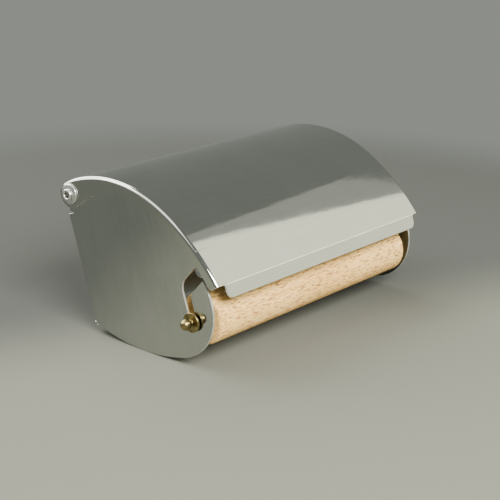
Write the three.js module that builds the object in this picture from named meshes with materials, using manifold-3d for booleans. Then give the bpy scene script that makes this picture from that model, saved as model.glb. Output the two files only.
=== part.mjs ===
import * as THREE from 'three';
import Module from 'manifold-3d';
import { mergeVertices } from 'three/addons/utils/BufferGeometryUtils.js';

const wasm = await Module();
wasm.setup();

// A covered roll holder for the wall. One folded steel sheet makes the back plate and both side
// plates, a curved steel hood is hinged to the side plates with hollow rivets, and a beech roller
// hangs by two brass pins in bent slots.
// Millimetres. +X runs along the roller, +Z is up, and the wall stands behind at y = 0.
// Heights are counted from the lower rear corner of the side plates.

// ---------- frame ----------
const FRAME_WIDTH = 140;
const FRAME_SHEET = 1;
const FRAME_BEND_INSIDE = 1;
const BACK_TOP_BELOW_PIVOT = 8.5;
const BACK_FOOT = 3;
const FOOT_INSET = 1.2;
const RELIEF_STEP = 2.5;
const RELIEF_SLIT = 0.8;
const RELIEF_DEPTH = 1.1;
const RELIEF_LAND = 2;

const NOSE_FORWARD = 53;
const NOSE_HEIGHT = 2.2;
const NOSE_RADIUS = 21.8;
const BELLY_RADIUS = 86;

const SCREW_HOLE = 7.7;
const LOWER_SCREW_HEIGHT = 5.4;
const UPPER_SCREW_BELOW_TOP = 9;
const UPPER_SCREW_INSET = 25;

// ---------- hood ----------
const HOOD_TOP = 62.7;
const HOOD_SHEET = 0.8;
const HOOD_GAP = 0.3;
const HOOD_FOLD_INSIDE = 0.8;
const CROWN_FORWARD = 12.7;
const HOOD_REAR = 2.8;
const REAR_ARC_RADIUS = 42.3;
const TOP_ARC_RADIUS = 65.9;
const TOP_ARC_SWEEP = 46.2;
const FRONT_ARC_RADIUS = 97;
const FRONT_ARC_SWEEP = 23.7;
const FLANGE_DEPTH = 4.6;
const FLANGE_CORNER = 2;
const FLANGE_START = 35.5;
const FLANGE_PULL = 14;
const EAR_BEYOND_WASHER = 1.7;
const EAR_LEAVE = 21.5;
const LIP_LENGTH = 5.5;
const LIP_INSET = 5;
const LIP_BEND_INSIDE = 0.7;
const LIP_CORNER = 3;
const LIP_THINNING = 0.03;
const LIP_TAIL = 1;
const TOP_TO_PLATE = 0.6;

// ---------- hinge ----------
const EAR_TO_HOOD = 2;
const EAR_TO_WALL = 0.3;
const PLATE_EAR_WALL = 2.12;
const PLATE_EAR_START = -54;
const RIVET_DIAMETER = 4;
const RIVET_WALL = 0.55;
const RIVET_CLEARANCE = 0.08;
const RIVET_HEAD_RIM = 1.5;
const RIVET_HEAD_THICKNESS = 0.8;
const RIVET_HEAD_EASE = 0.4;
const WASHER_DIAMETER = 9.2;
const WASHER_SHEET = 0.8;
const WASHER_EASE = 0.4;
const WASHER_DOME = 0.4;
const STACK_GAP = 0.05;

// ---------- slot and roller ----------
const SEAT_AHEAD_OF_NOSE = 9.2;
const SEAT_BELOW_NOSE = 6.9;
const SLOT_CLEARANCE = 0.15;
const DIAGONAL_WIDTH = 6.3;
const DIAGONAL_ABOVE_SEAT = 13.8;
const DIAGONAL_SLOPE = 30;
const SLOT_BEND_RADIUS = 3.5;
const SLOT_INNER_RADIUS = 1.6;

const ROLLER_DIAMETER = 22.6;
const ROLLER_END_GAP = 3.8;
const ROLLER_EDGE = 1.6;
const PIN_STEM = 3.7;
const PIN_SHANK_LENGTH = 14;
const PIN_BORE_CLEARANCE = 0.08;
const PIN_BORE_SPARE = 1;
const PIN_FLANGE_RIM = 2.45;
const PIN_FLANGE_THICKNESS = 1.1;
const PIN_FLANGE_EASE = 0.37;
const PIN_FLANGE_GAP = 0.6;
const PIN_NECK = 2.6;
const PIN_KNOB = 4.8;
const PIN_NECK_LENGTH = 0.7;

// ---------- fineness of the round shapes ----------
const HOLE_SEGMENTS = 40;
const TURNED_SEGMENTS = 40;
const OUTLINE_SEGMENTS = 9;
const FOLD_SEGMENTS = 3;
const HOOD_STEPS = 40;
const CROWN_STEPS = 20;
const FLANGE_STEPS = 12;
const BAND_STEPS = 5;
const BROW_STEPS = 8;
const REAR_STEPS = 3;
const BALL_STEPS = 12;
const ROLL_STEPS = 9;
const EASE_STEPS = 5;
const HALVINGS = 30;

// How far a cutting shape runs past what it cuts.
const CUT_MARGIN = 5;

// ---------- values that follow from the sizes above ----------
const HALF_FRAME = FRAME_WIDTH / 2;
const FRAME_BEND = FRAME_SHEET + FRAME_BEND_INSIDE;
const HOOD_INSIDE = HALF_FRAME + HOOD_GAP;
const HOOD_OUTSIDE = HOOD_INSIDE + HOOD_SHEET;
const HOOD_FOLD = HOOD_SHEET + HOOD_FOLD_INSIDE;
const LIP_BEND = HOOD_SHEET + LIP_BEND_INSIDE;
const EAR_RADIUS = WASHER_DIAMETER / 2 + EAR_BEYOND_WASHER;
const RIVET_HOLE = RIVET_DIAMETER / 2 + RIVET_CLEARANCE;
const PLATE_EAR_RADIUS = RIVET_HOLE + PLATE_EAR_WALL;
const PIVOT_FORWARD = EAR_RADIUS + EAR_TO_WALL;
const PIVOT_HEIGHT = HOOD_TOP - EAR_TO_HOOD - PLATE_EAR_RADIUS;
const BACK_TOP = PIVOT_HEIGHT - BACK_TOP_BELOW_PIVOT;
const MOUNT_HEIGHT = (BACK_TOP - BACK_FOOT) / 2;
const PLATE_TOP_DEPTH = HOOD_SHEET + TOP_TO_PLATE;
const SLOT_WIDTH = PIN_STEM + 2 * SLOT_CLEARANCE;
const SLOT_FORWARD = NOSE_FORWARD + SEAT_AHEAD_OF_NOSE;
const SLOT_SEAT_HEIGHT = NOSE_HEIGHT - SEAT_BELOW_NOSE;
const DIAGONAL_HEIGHT = SLOT_SEAT_HEIGHT + DIAGONAL_ABOVE_SEAT;
const ROLLER_LENGTH = FRAME_WIDTH - 2 * FRAME_SHEET - 2 * ROLLER_END_GAP;

const metal = (colour, roughness) =>
  new THREE.MeshStandardMaterial({ color: colour, roughness, metalness: 1 });

const frameSteel = () => metal(0xb4b6ae, 0.22);
const hoodSteel = () => metal(0xc2c4bb, 0.3);
const bareSteel = () => metal(0xc9cac4, 0.35);
const brass = () => metal(0xb08a45, 0.3);
const beech = () =>
  new THREE.MeshStandardMaterial({ color: 0xe3c59b, roughness: 0.6, metalness: 0 });

// ---------- solids ----------
function toSolid(geometry) {
  const plain = geometry.clone();
  plain.deleteAttribute('normal');
  plain.deleteAttribute('uv');
  const merged = mergeVertices(plain, 1e-4);
  return new wasm.Manifold(new wasm.Mesh({
    numProp: 3,
    vertProperties: new Float32Array(merged.attributes.position.array),
    triVerts: new Uint32Array(merged.index.array),
  }));
}

function toMesh(name, solid, material) {
  const result = solid.getMesh();
  const geometry = new THREE.BufferGeometry();
  geometry.setAttribute('position', new THREE.BufferAttribute(new Float32Array(result.vertProperties), 3));
  geometry.setIndex(new THREE.BufferAttribute(new Uint32Array(result.triVerts), 1));
  const mesh = new THREE.Mesh(geometry, material);
  mesh.name = name;
  return mesh;
}

// A side view, drawn with y to the right and z up, made solid between two x values.
function sidePrism(shape, fromX, toX) {
  const geometry = new THREE.ExtrudeGeometry(shape, {
    depth: toX - fromX,
    bevelEnabled: false,
    curveSegments: OUTLINE_SEGMENTS,
  });
  const toSide = new THREE.Matrix4().makeBasis(
    new THREE.Vector3(0, 1, 0),
    new THREE.Vector3(0, 0, 1),
    new THREE.Vector3(1, 0, 0),
  );
  geometry.applyMatrix4(toSide);
  geometry.translate(fromX, 0, 0);
  return toSolid(geometry);
}

// A front view, drawn with x to the right and z up, made solid between two y values.
function frontPrism(shape, fromY, toY) {
  const geometry = new THREE.ExtrudeGeometry(shape, {
    depth: toY - fromY,
    bevelEnabled: false,
    curveSegments: OUTLINE_SEGMENTS,
  });
  geometry.rotateX(Math.PI / 2);
  geometry.translate(0, toY, 0);
  return toSolid(geometry);
}

function roundHole(radius, fromX, toX, y, z) {
  const geometry = new THREE.CylinderGeometry(radius, radius, toX - fromX, HOLE_SEGMENTS);
  geometry.rotateZ(Math.PI / 2);
  geometry.translate((fromX + toX) / 2, y, z);
  return toSolid(geometry);
}

const radians = THREE.MathUtils.degToRad;

// ---------- the hood's outer curve ----------
// Three arcs that run into one another: a short one falling back to the rear edge, the long crown
// and a flatter one down to the front. An angle is the lean of the outward normal from straight
// up, positive towards the front. Depth is measured inwards from the outer face.
const crownCentre = { y: -CROWN_FORWARD, z: HOOD_TOP - TOP_ARC_RADIUS };
const rearCentre = { y: -CROWN_FORWARD, z: HOOD_TOP - REAR_ARC_RADIUS };
const frontCentre = {
  y: crownCentre.y + (FRONT_ARC_RADIUS - TOP_ARC_RADIUS) * Math.sin(radians(TOP_ARC_SWEEP)),
  z: crownCentre.z - (FRONT_ARC_RADIUS - TOP_ARC_RADIUS) * Math.cos(radians(TOP_ARC_SWEEP)),
};
const REAR_ANGLE = -THREE.MathUtils.radToDeg(Math.asin((CROWN_FORWARD - HOOD_REAR) / REAR_ARC_RADIUS));
const FRONT_ANGLE = TOP_ARC_SWEEP + FRONT_ARC_SWEEP;

function hoodPoint(angle, depth) {
  let centre = crownCentre;
  let radius = TOP_ARC_RADIUS;
  if (angle < 0) {
    centre = rearCentre;
    radius = REAR_ARC_RADIUS;
  }
  if (angle > TOP_ARC_SWEEP) {
    centre = frontCentre;
    radius = FRONT_ARC_RADIUS;
  }
  const reach = radius - depth;
  return new THREE.Vector2(
    centre.y - reach * Math.sin(radians(angle)),
    centre.z + reach * Math.cos(radians(angle)),
  );
}

class HoodCurve extends THREE.Curve {
  getPoint(t, target = new THREE.Vector3()) {
    const lengths = [
      -radians(REAR_ANGLE) * REAR_ARC_RADIUS,
      radians(TOP_ARC_SWEEP) * TOP_ARC_RADIUS,
      radians(FRONT_ARC_SWEEP) * FRONT_ARC_RADIUS,
    ];
    const along = t * (lengths[0] + lengths[1] + lengths[2]) - lengths[0];
    let angle = along / TOP_ARC_RADIUS;
    if (along < 0) {
      angle = along / REAR_ARC_RADIUS;
    }
    if (along > lengths[1]) {
      angle = radians(TOP_ARC_SWEEP) + (along - lengths[1]) / FRONT_ARC_RADIUS;
    }
    const point = hoodPoint(THREE.MathUtils.radToDeg(angle), 0);
    return target.set(0, point.x, point.y);
  }
}

// Points along the hood's curve at one depth, from one angle to another.
function hoodArc(fromAngle, toAngle, depth, steps) {
  const points = [];
  for (let i = 0; i <= steps; i += 1) {
    points.push(hoodPoint(fromAngle + ((toAngle - fromAngle) * i) / steps, depth));
  }
  return points;
}

function startThrough(shape, points) {
  shape.moveTo(points[0].x, points[0].y);
  lineThrough(shape, points.slice(1));
}

function lineThrough(shape, points) {
  for (const point of points) {
    shape.lineTo(point.x, point.y);
  }
}

// ---------- hood ----------
// Cross-section of the folded sheet: x is across the hood, y is the depth below the outer face.
function hoodSection(depth) {
  const inner = HOOD_FOLD - HOOD_SHEET;
  const edge = HOOD_OUTSIDE;
  const turn = edge - HOOD_FOLD;
  const section = new THREE.Shape();
  section.moveTo(-edge, depth);
  section.absarc(-turn, HOOD_FOLD, HOOD_FOLD, Math.PI, 1.5 * Math.PI, false);
  section.absarc(turn, HOOD_FOLD, HOOD_FOLD, 1.5 * Math.PI, 2 * Math.PI, false);
  section.lineTo(edge, depth);
  section.lineTo(edge - HOOD_SHEET, depth);
  section.absarc(turn, HOOD_FOLD, inner, 2 * Math.PI, 1.5 * Math.PI, true);
  section.absarc(-turn, HOOD_FOLD, inner, 1.5 * Math.PI, Math.PI, true);
  section.lineTo(-edge + HOOD_SHEET, depth);
  section.closePath();
  return section;
}

// Everything below the flanges' lower edge: a smooth dip from the hinge ears to a band of even
// depth, ending in a rounded corner at the front.
function belowFlanges() {
  const leave = radians(EAR_LEAVE);
  const band = radians(FLANGE_START);
  const earBottom = PIVOT_HEIGHT - EAR_RADIUS;
  const earPoint = new THREE.Vector2(
    -PIVOT_FORWARD - EAR_RADIUS * Math.sin(leave),
    PIVOT_HEIGHT - EAR_RADIUS * Math.cos(leave),
  );
  const bandPoint = hoodPoint(FLANGE_START, FLANGE_DEPTH);
  const cornerTurn = THREE.MathUtils.radToDeg(FLANGE_CORNER / FRONT_ARC_RADIUS);
  const corner = hoodPoint(FRONT_ANGLE, FLANGE_DEPTH);
  const roundedEnd = hoodPoint(FRONT_ANGLE, FLANGE_DEPTH - FLANGE_CORNER);
  const beyond = hoodPoint(FRONT_ANGLE + 2 * cornerTurn, FLANGE_DEPTH - FLANGE_CORNER);
  const shape = new THREE.Shape();
  shape.moveTo(0, earBottom);
  shape.lineTo(-PIVOT_FORWARD, earBottom);
  shape.absarc(-PIVOT_FORWARD, PIVOT_HEIGHT, EAR_RADIUS, 1.5 * Math.PI, 1.5 * Math.PI - leave, true);
  shape.bezierCurveTo(
    earPoint.x - FLANGE_PULL * Math.cos(leave),
    earPoint.y + FLANGE_PULL * Math.sin(leave),
    bandPoint.x + FLANGE_PULL * Math.cos(band),
    bandPoint.y + FLANGE_PULL * Math.sin(band),
    bandPoint.x,
    bandPoint.y,
  );
  lineThrough(shape, hoodArc(FLANGE_START, TOP_ARC_SWEEP, FLANGE_DEPTH, BAND_STEPS));
  lineThrough(shape, hoodArc(TOP_ARC_SWEEP, FRONT_ANGLE - cornerTurn, FLANGE_DEPTH, FLANGE_STEPS));
  shape.quadraticCurveTo(corner.x, corner.y, roundedEnd.x, roundedEnd.y);
  shape.lineTo(beyond.x, beyond.y);
  shape.lineTo(beyond.x, -NOSE_RADIUS);
  shape.lineTo(0, -NOSE_RADIUS);
  shape.closePath();
  return shape;
}

// The round ear about the pivot, kept below the curved fold.
function hoodEar(fromX, toX) {
  const disc = new THREE.Shape();
  disc.absarc(-PIVOT_FORWARD, PIVOT_HEIGHT, EAR_RADIUS, 0, 2 * Math.PI, false);
  const fold = hoodArc(2 * REAR_ANGLE, -2 * REAR_ANGLE, HOOD_FOLD, FLANGE_STEPS);
  const below = new THREE.Shape();
  startThrough(below, fold);
  below.lineTo(fold[fold.length - 1].x, 0);
  below.lineTo(fold[0].x, 0);
  below.closePath();
  return sidePrism(disc, fromX, toX).intersect(sidePrism(below, fromX - CUT_MARGIN, toX + CUT_MARGIN));
}

// Centre of the bend between the hood's front edge and the lip.
function lipBendCentre() {
  const edge = hoodPoint(FRONT_ANGLE, LIP_THINNING + LIP_BEND);
  return { y: edge.x, z: edge.y };
}

// The lip in side view: it leaves the front edge of the hood and turns straight down. The bend
// draws its sheet a little thinner than the hood's.
function lipSide() {
  const sheet = HOOD_SHEET - 2 * LIP_THINNING;
  const tail = FRONT_ANGLE - THREE.MathUtils.radToDeg(LIP_TAIL / FRONT_ARC_RADIUS);
  const turn = radians(90 - FRONT_ANGLE);
  const centre = lipBendCentre();
  const bottom = centre.z - LIP_LENGTH;
  const shape = new THREE.Shape();
  startThrough(shape, hoodArc(tail, FRONT_ANGLE, LIP_THINNING, 1));
  shape.absarc(centre.y, centre.z, LIP_BEND, Math.PI - turn, Math.PI, false);
  shape.lineTo(centre.y - LIP_BEND, bottom);
  shape.lineTo(centre.y - LIP_BEND + sheet, bottom);
  shape.absarc(centre.y, centre.z, LIP_BEND - sheet, Math.PI, Math.PI - turn, true);
  lineThrough(shape, hoodArc(FRONT_ANGLE, tail, LIP_THINNING + sheet, 1));
  shape.closePath();
  return shape;
}

// The lip in front view, with its two lower corners rounded.
function lipFront() {
  const half = HOOD_OUTSIDE - LIP_INSET;
  const bottom = lipBendCentre().z - LIP_LENGTH;
  const top = bottom + 2 * (LIP_LENGTH + LIP_BEND);
  const turn = half - LIP_CORNER;
  const shape = new THREE.Shape();
  shape.moveTo(-half, top);
  shape.absarc(-turn, bottom + LIP_CORNER, LIP_CORNER, Math.PI, 1.5 * Math.PI, false);
  shape.absarc(turn, bottom + LIP_CORNER, LIP_CORNER, 1.5 * Math.PI, 2 * Math.PI, false);
  shape.lineTo(half, top);
  shape.closePath();
  return shape;
}

function makeHood() {
  const folded = toSolid(new THREE.ExtrudeGeometry(hoodSection(2 * EAR_RADIUS), {
    steps: HOOD_STEPS,
    extrudePath: new HoodCurve(),
    curveSegments: FOLD_SEGMENTS,
  }));
  const lip = sidePrism(lipSide(), -HOOD_OUTSIDE, HOOD_OUTSIDE)
    .intersect(frontPrism(lipFront(), -2 * FRONT_ARC_RADIUS, 0));
  const reach = HOOD_OUTSIDE + CUT_MARGIN;
  const solid = folded
    .subtract(sidePrism(belowFlanges(), -reach, reach))
    .add(hoodEar(-HOOD_OUTSIDE, -HOOD_INSIDE))
    .add(hoodEar(HOOD_INSIDE, HOOD_OUTSIDE))
    .add(lip)
    .subtract(roundHole(RIVET_HOLE, -reach, reach, -PIVOT_FORWARD, PIVOT_HEIGHT));
  return toMesh('hood', solid, hoodSteel());
}

// ---------- slot ----------
const slope = radians(DIAGONAL_SLOPE);
const slotDirection = new THREE.Vector2(-Math.cos(slope), Math.sin(slope));

// Height at a given y of the line that runs beside the diagonal's centre line.
function diagonalHeight(y, beside) {
  return DIAGONAL_HEIGHT + (beside - (y + SLOT_FORWARD) * Math.sin(slope)) / Math.cos(slope);
}

// A bent slot: a narrow upright part with a round seat for the pin, then a wider diagonal that
// runs out through the front edge of the plate.
function slotSide() {
  const rear = -SLOT_FORWARD + SLOT_WIDTH / 2;
  const front = -SLOT_FORWARD - SLOT_WIDTH / 2;
  const upper = new THREE.Vector2(rear, diagonalHeight(rear, DIAGONAL_WIDTH / 2));
  const lower = new THREE.Vector2(front, diagonalHeight(front, -DIAGONAL_WIDTH / 2));
  const from = (corner, distance) => corner.clone().addScaledVector(slotDirection, distance);
  const upperStart = from(upper, SLOT_BEND_RADIUS);
  const upperEnd = from(upper, NOSE_RADIUS);
  const lowerEnd = from(lower, NOSE_RADIUS);
  const lowerStart = from(lower, SLOT_INNER_RADIUS);
  const shape = new THREE.Shape();
  shape.absarc(-SLOT_FORWARD, SLOT_SEAT_HEIGHT, SLOT_WIDTH / 2, Math.PI, 2 * Math.PI, false);
  shape.lineTo(rear, upper.y - SLOT_BEND_RADIUS);
  shape.quadraticCurveTo(upper.x, upper.y, upperStart.x, upperStart.y);
  shape.lineTo(upperEnd.x, upperEnd.y);
  shape.lineTo(lowerEnd.x, lowerEnd.y);
  shape.lineTo(lowerStart.x, lowerStart.y);
  shape.quadraticCurveTo(lower.x, lower.y, front, lower.y - SLOT_INNER_RADIUS);
  shape.closePath();
  return shape;
}

// ---------- frame ----------
function channelPlan() {
  const inner = FRAME_BEND - FRAME_SHEET;
  const front = -NOSE_FORWARD - 2 * NOSE_RADIUS;
  const turn = HALF_FRAME - FRAME_BEND;
  const shape = new THREE.Shape();
  shape.moveTo(HALF_FRAME, front);
  shape.absarc(turn, -FRAME_BEND, FRAME_BEND, 0, 0.5 * Math.PI, false);
  shape.absarc(-turn, -FRAME_BEND, FRAME_BEND, 0.5 * Math.PI, Math.PI, false);
  shape.lineTo(-HALF_FRAME, front);
  shape.lineTo(-HALF_FRAME + FRAME_SHEET, front);
  shape.absarc(-turn, -FRAME_BEND, inner, Math.PI, 0.5 * Math.PI, true);
  shape.absarc(turn, -FRAME_BEND, inner, 0.5 * Math.PI, 0, true);
  shape.lineTo(HALF_FRAME - FRAME_SHEET, front);
  shape.closePath();
  return shape;
}

// Where the slot's centre line leaves the plate: on the hood's curve above it, and on the nose
// circle below it. The plate's edge jumps from one to the other inside the slot.
function mouthAngle() {
  let low = TOP_ARC_SWEEP;
  let high = FRONT_ANGLE;
  for (let i = 0; i < HALVINGS; i += 1) {
    const middle = (low + high) / 2;
    const point = hoodPoint(middle, PLATE_TOP_DEPTH);
    if (point.y > diagonalHeight(point.x, 0)) {
      low = middle;
    } else {
      high = middle;
    }
  }
  return low;
}

function noseTopAngle() {
  let low = 0.5 * Math.PI;
  let high = Math.PI;
  for (let i = 0; i < HALVINGS; i += 1) {
    const middle = (low + high) / 2;
    const y = -NOSE_FORWARD + NOSE_RADIUS * Math.cos(middle);
    const z = NOSE_HEIGHT + NOSE_RADIUS * Math.sin(middle);
    if (z > diagonalHeight(y, 0)) {
      low = middle;
    } else {
      high = middle;
    }
  }
  return low;
}

// Side plate in side view. The rear edge steps forward above the back plate, the ear turns about
// the pivot, the top edge follows the hood from inside, and the nose circle runs into the belly
// arc, which ends at the lower rear corner.
function plateSide() {
  const nose = new THREE.Vector2(-NOSE_FORWARD, NOSE_HEIGHT);
  const between = BELLY_RADIUS - NOSE_RADIUS;
  const along = (nose.lengthSq() + between ** 2 - BELLY_RADIUS ** 2) / (2 * between);
  const meet = Math.atan2(nose.y, nose.x) + Math.acos(along / nose.length());
  const belly = {
    y: nose.x - between * Math.cos(meet),
    z: nose.y - between * Math.sin(meet),
  };
  const corner = Math.atan2(-belly.z, -belly.y);
  const slit = BACK_TOP + RELIEF_SLIT;
  const earReach = (CROWN_FORWARD - PIVOT_FORWARD) / REAR_ARC_RADIUS;
  const earAngle = THREE.MathUtils.radToDeg(Math.asin(earReach));
  const shape = new THREE.Shape();
  shape.moveTo(0, 0);
  shape.lineTo(0, BACK_TOP);
  shape.lineTo(-RELIEF_STEP - RELIEF_DEPTH, BACK_TOP);
  shape.lineTo(-RELIEF_STEP - RELIEF_DEPTH, slit);
  shape.lineTo(-RELIEF_STEP, slit);
  shape.lineTo(-RELIEF_STEP, slit + RELIEF_LAND);
  const earStart = radians(PLATE_EAR_START);
  shape.absarc(-PIVOT_FORWARD, PIVOT_HEIGHT, PLATE_EAR_RADIUS, earStart, 0.5 * Math.PI, false);
  lineThrough(shape, hoodArc(-earAngle, 0, PLATE_TOP_DEPTH, REAR_STEPS));
  lineThrough(shape, hoodArc(0, TOP_ARC_SWEEP, PLATE_TOP_DEPTH, CROWN_STEPS));
  lineThrough(shape, hoodArc(TOP_ARC_SWEEP, mouthAngle(), PLATE_TOP_DEPTH, BROW_STEPS));
  shape.absarc(nose.x, nose.y, NOSE_RADIUS, noseTopAngle(), meet + 2 * Math.PI, false);
  shape.absarc(belly.y, belly.z, BELLY_RADIUS, meet, corner, false);
  shape.closePath();
  return shape;
}

function screwHole(x, z) {
  const depth = 2 * (FRAME_SHEET + CUT_MARGIN);
  const geometry = new THREE.CylinderGeometry(SCREW_HOLE / 2, SCREW_HOLE / 2, depth, HOLE_SEGMENTS);
  geometry.translate(x, 0, z);
  return toSolid(geometry);
}

function makeFrame() {
  const channel = new THREE.ExtrudeGeometry(channelPlan(), {
    depth: HOOD_TOP + NOSE_RADIUS,
    bevelEnabled: false,
    curveSegments: FOLD_SEGMENTS,
  });
  channel.translate(0, 0, -NOSE_RADIUS);
  const foot = new THREE.BoxGeometry(FRAME_WIDTH - 2 * FOOT_INSET, FRAME_SHEET, 2 * BACK_FOOT);
  foot.translate(0, -FRAME_SHEET / 2, 0);
  const reach = HALF_FRAME + CUT_MARGIN;
  const upperScrew = { x: HALF_FRAME - UPPER_SCREW_INSET, z: BACK_TOP - UPPER_SCREW_BELOW_TOP };
  const solid = toSolid(channel)
    .intersect(sidePrism(plateSide(), -reach, reach))
    .add(toSolid(foot))
    .subtract(sidePrism(slotSide(), -reach, reach))
    .subtract(roundHole(RIVET_HOLE, -reach, reach, -PIVOT_FORWARD, PIVOT_HEIGHT))
    .subtract(screwHole(0, LOWER_SCREW_HEIGHT))
    .subtract(screwHole(-upperScrew.x, upperScrew.z))
    .subtract(screwHole(upperScrew.x, upperScrew.z));
  return toMesh('frame', solid, frameSteel());
}

// ---------- turned pieces ----------
// A profile of radius against distance from the middle of the holder, turned about the X axis
// through (y, z). side is -1 for the left piece and +1 for the right one.
function turned(name, profile, side, y, z, material) {
  const geometry = new THREE.LatheGeometry(profile, TURNED_SEGMENTS);
  geometry.rotateZ((-side * Math.PI) / 2);
  const mesh = toMesh(name, toSolid(geometry), material);
  mesh.position.set(0, y, z);
  return mesh;
}

function arcPoints(centreRadius, centreAlong, radius, fromAngle, toAngle, steps) {
  const points = [];
  for (let i = 0; i <= steps; i += 1) {
    const angle = radians(fromAngle + ((toAngle - fromAngle) * i) / steps);
    points.push(new THREE.Vector2(
      centreRadius + radius * Math.cos(angle),
      centreAlong + radius * Math.sin(angle),
    ));
  }
  return points;
}

const at = (radius, along) => new THREE.Vector2(radius, along);

const WASHER_START = HOOD_OUTSIDE + STACK_GAP;
const WASHER_TOP = WASHER_START + WASHER_SHEET + WASHER_DOME;

// Hollow rivet: a flat head inside the side plate, and its outer end rolled over the washer.
function makeRivet(name, side) {
  const shank = RIVET_DIAMETER / 2;
  const bore = shank - RIVET_WALL;
  const head = shank + RIVET_HEAD_RIM;
  const headTop = HALF_FRAME - FRAME_SHEET - STACK_GAP;
  const headBottom = headTop - RIVET_HEAD_THICKNESS;
  const roll = WASHER_TOP + STACK_GAP + RIVET_WALL;
  const profile = [
    at(bore, headBottom),
    at(head - RIVET_HEAD_EASE, headBottom),
    at(head, headBottom + RIVET_HEAD_EASE),
    at(head, headTop),
    at(shank, headTop),
    at(shank, WASHER_TOP),
    ...arcPoints(shank, roll, RIVET_WALL, -90, 180, ROLL_STEPS),
    at(bore, headBottom),
  ];
  return turned(name, profile, side, -PIVOT_FORWARD, PIVOT_HEIGHT, bareSteel());
}

// Round washer, slightly domed towards its hole.
function makeWasher(name, side) {
  const rim = WASHER_DIAMETER / 2;
  const flat = WASHER_START + WASHER_SHEET;
  const profile = [
    at(RIVET_HOLE, WASHER_START),
    at(rim, WASHER_START),
    ...arcPoints(rim - WASHER_EASE, flat - WASHER_EASE, WASHER_EASE, 0, 90, 2),
    at((rim + RIVET_HOLE) / 2, (flat + 3 * WASHER_TOP) / 4),
    at(RIVET_HOLE, WASHER_TOP),
    at(RIVET_HOLE, WASHER_START),
  ];
  return turned(name, profile, side, -PIVOT_FORWARD, PIVOT_HEIGHT, bareSteel());
}

// Turned end pin: a shank in the roller's bore and the slot, a flange outside the plate, a neck
// and a ball.
function makePin(name, side) {
  const stem = PIN_STEM / 2;
  const flange = stem + PIN_FLANGE_RIM;
  const neck = PIN_NECK / 2;
  const ball = PIN_KNOB / 2;
  const start = ROLLER_LENGTH / 2 - PIN_SHANK_LENGTH;
  const flangeStart = HALF_FRAME + PIN_FLANGE_GAP;
  const flangeEnd = flangeStart + PIN_FLANGE_THICKNESS;
  const bevel = PIN_FLANGE_EASE;
  const neckAngle = THREE.MathUtils.radToDeg(Math.acos(neck / ball));
  const ballCentre = flangeEnd + PIN_NECK_LENGTH + ball * Math.sin(radians(neckAngle));
  const profile = [
    at(0, start),
    at(stem - bevel, start),
    at(stem, start + bevel),
    at(stem, flangeStart),
    at(flange - bevel, flangeStart),
    at(flange, flangeStart + bevel),
    at(flange, flangeEnd - bevel),
    at(flange - bevel, flangeEnd),
    at(neck, flangeEnd),
    ...arcPoints(0, ballCentre, ball, -neckAngle, 90, BALL_STEPS).slice(0, -1),
    at(0, ballCentre + ball),
  ];
  return turned(name, profile, side, -SLOT_FORWARD, SLOT_SEAT_HEIGHT, brass());
}

// Wooden roller with eased ends and a blind bore in each end for the pins.
function makeRoller() {
  const radius = ROLLER_DIAMETER / 2;
  const half = ROLLER_LENGTH / 2;
  const bore = PIN_STEM / 2 + PIN_BORE_CLEARANCE;
  const boreEnd = half - PIN_SHANK_LENGTH - PIN_BORE_SPARE;
  const edge = radius - ROLLER_EDGE;
  const profile = [
    at(0, -boreEnd),
    at(bore, -boreEnd),
    at(bore, -half),
    ...arcPoints(edge, -half + ROLLER_EDGE, ROLLER_EDGE, -90, 0, EASE_STEPS),
    ...arcPoints(edge, half - ROLLER_EDGE, ROLLER_EDGE, 0, 90, EASE_STEPS),
    at(bore, half),
    at(bore, boreEnd),
    at(0, boreEnd),
  ];
  return turned('roller', profile, 1, -SLOT_FORWARD, SLOT_SEAT_HEIGHT, beech());
}

// ---------- the whole holder ----------
// The origin is the middle of the back plate's rear face.
const holder = new THREE.Group();
holder.name = 'roll_holder';
holder.position.z = -MOUNT_HEIGHT;
holder.add(makeFrame());
holder.add(makeHood());
holder.add(makeRoller());
for (const [label, side] of [['left', -1], ['right', 1]]) {
  holder.add(makePin(`roller_pin_${label}`, side));
  holder.add(makeWasher(`hinge_washer_${label}`, side));
  holder.add(makeRivet(`hinge_rivet_${label}`, side));
}

export default holder;
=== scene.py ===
import math

import bmesh
import bpy
from mathutils import Matrix, Vector
from mathutils.geometry import delaunay_2d_cdt


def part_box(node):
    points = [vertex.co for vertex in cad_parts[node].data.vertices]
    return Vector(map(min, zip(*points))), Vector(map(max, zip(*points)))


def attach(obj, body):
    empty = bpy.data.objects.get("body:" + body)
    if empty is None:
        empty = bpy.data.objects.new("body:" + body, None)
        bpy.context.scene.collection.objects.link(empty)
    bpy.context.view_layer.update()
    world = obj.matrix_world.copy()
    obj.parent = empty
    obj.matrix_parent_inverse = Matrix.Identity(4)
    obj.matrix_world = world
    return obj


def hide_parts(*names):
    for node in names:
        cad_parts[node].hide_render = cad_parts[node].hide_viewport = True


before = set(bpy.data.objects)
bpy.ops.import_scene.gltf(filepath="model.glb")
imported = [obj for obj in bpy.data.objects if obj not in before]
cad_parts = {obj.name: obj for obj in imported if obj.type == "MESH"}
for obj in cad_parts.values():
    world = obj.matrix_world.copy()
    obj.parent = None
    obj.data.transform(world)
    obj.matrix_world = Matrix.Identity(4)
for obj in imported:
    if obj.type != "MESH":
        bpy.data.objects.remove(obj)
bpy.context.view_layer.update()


# ---------------------------------------------------------------- folded frame
# One blank of 1 mm stainless sheet, punched, then folded twice into a U: the back plate that
# screws to the wall and the two side plates that carry the hood and the roller. The blank is
# drawn flat, cut, then bent, as the real one is.

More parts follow.
